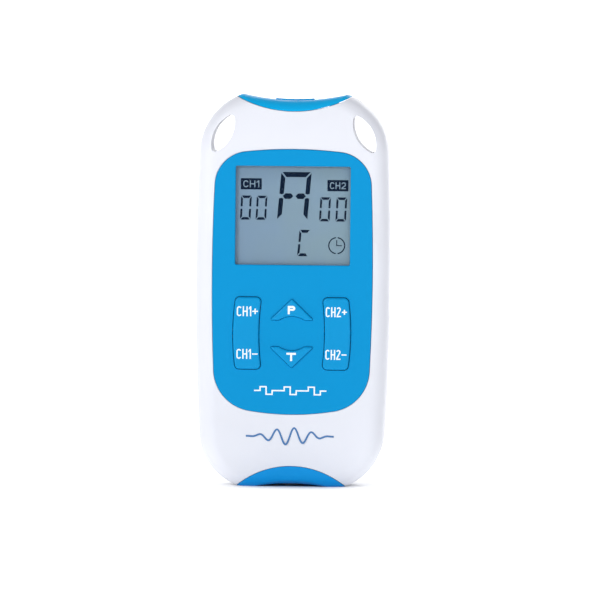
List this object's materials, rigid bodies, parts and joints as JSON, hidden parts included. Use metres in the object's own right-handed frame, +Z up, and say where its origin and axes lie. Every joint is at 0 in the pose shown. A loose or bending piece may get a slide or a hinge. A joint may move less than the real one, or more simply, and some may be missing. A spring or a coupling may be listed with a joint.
{
  "type": "tens unit",
  "caption": "Upright handheld nerve stimulator with a display, rocker and arrow keys, socketed top end, lanyard slots, a hinged battery door and a sprung belt clip.",
  "frame": {"origin": "centre of the bounding box's underside, on the surface that the two feet stand on", "axes": "+Z up along the unit, +Y from the key side to the clip side, +X across to the right as the front is seen"},
  "size_m": [0.0596, 0.0339, 0.1205],
  "materials": {
    "white_shell": "moulded ABS, satin gloss, cool white",
    "white_clip": "moulded ABS, satin gloss, cool white",
    "blue_fascia": "sky blue moulding, satin",
    "blue_keys": "sky blue moulding, satin",
    "blue_top_cap": "bright blue moulding",
    "blue_bottom_cap": "bright blue moulding",
    "clear_lens": "clear acrylic, polished",
    "lcd_glass": "reflective display glass, blue grey",
    "black_plastic": "moulded black",
    "elastomer": "carbon-filled elastomer",
    "silicone": "translucent grey silicone",
    "gold_plate": "gold flash",
    "circuit_board": "green solder mask over glass epoxy",
    "ferrite": "sintered ferrite, dull grey",
    "copper_winding": "enamelled copper wire",
    "capacitor_can": "sleeved can",
    "bright_metal": "nickel plated",
    "spring_steel": "plated spring wire",
    "screw_steel": "zinc plated",
    "battery_jacket": "plain jacket with bare ends"
  },
  "bodies": {
    "housing": {"front_shell": "white_shell", "rear_shell": "white_shell", "fascia": "blue_fascia", "top_end_cap": "blue_top_cap", "bottom_end_cap": "blue_bottom_cap", "display_lens": "clear_lens", "lcd_cell": "lcd_glass", "lcd_frame": "black_plastic", "zebra_strips": "elastomer", "keypad_mat": "silicone", "carbon_pills": "elastomer", "key_contacts": "gold_plate", "main_board": "circuit_board", "microcontroller": "black_plastic", "transformer_cores": "ferrite", "transformer_coils": "copper_winding", "storage_capacitors": "capacitor_can", "boost_inductor": "ferrite", "crystal": "bright_metal", "buzzer": "black_plastic", "output_transistors": "black_plastic", "chip_resistors": "black_plastic", "battery_cell_left": "battery_jacket", "battery_cell_right": "battery_jacket", "battery_springs": "spring_steel", "battery_link_plate": "bright_metal", "battery_terminals": "bright_metal", "output_socket_ch1": "black_plastic", "output_socket_ch2": "black_plastic", "socket_pins": "bright_metal", "socket_sleeves": "bright_metal", "clip_hinge_pin": "spring_steel", "clip_spring": "spring_steel", "case_screws": "screw_steel", "board_screws": "screw_steel"},
    "ch1_rocker": {"ch1_rocker_key": "blue_keys"},
    "ch2_rocker": {"ch2_rocker_key": "blue_keys"},
    "program_button": {"program_key": "blue_keys"},
    "timer_button": {"timer_key": "blue_keys"},
    "door": {"battery_door": "white_shell"},
    "clip": {"belt_clip": "white_clip"}
  },
  "joints": [
    {"name": "ch1_rocker_tilt", "type": "hinge", "parent": "housing", "child": "ch1_rocker", "pos_m": [-0.0141, -0.01295, 0.0472], "axis": [1, 0, 0], "range_deg": [-3, 3], "stiffness_Nm_per_rad": 0.1, "deforming": ["keypad_mat"]},
    {"name": "ch2_rocker_tilt", "type": "hinge", "parent": "housing", "child": "ch2_rocker", "pos_m": [0.0141, -0.01295, 0.0472], "axis": [1, 0, 0], "range_deg": [-3, 3], "stiffness_Nm_per_rad": 0.1, "deforming": ["keypad_mat"]},
    {"name": "program_key_press", "type": "slide", "parent": "housing", "child": "program_button", "axis": [0, 1, 0], "range_m": [0, 0.0006], "stiffness_N_per_m": 1800, "deforming": ["keypad_mat"]},
    {"name": "timer_key_press", "type": "slide", "parent": "housing", "child": "timer_button", "axis": [0, 1, 0], "range_m": [0, 0.0006], "stiffness_N_per_m": 1800, "deforming": ["keypad_mat"]},
    {"name": "battery_door_swing", "type": "hinge", "parent": "housing", "child": "door", "pos_m": [0, 0.0089, 0.0693], "axis": [1, 0, 0], "range_deg": [0, 80]},
    {"name": "belt_clip_swing", "type": "hinge", "parent": "housing", "child": "clip", "pos_m": [0, 0.0126, 0.103], "axis": [1, 0, 0], "range_deg": [0, 15], "stiffness_Nm_per_rad": 0.2, "springref_deg": -11.46, "deforming": ["clip_spring"]}
  ]
}
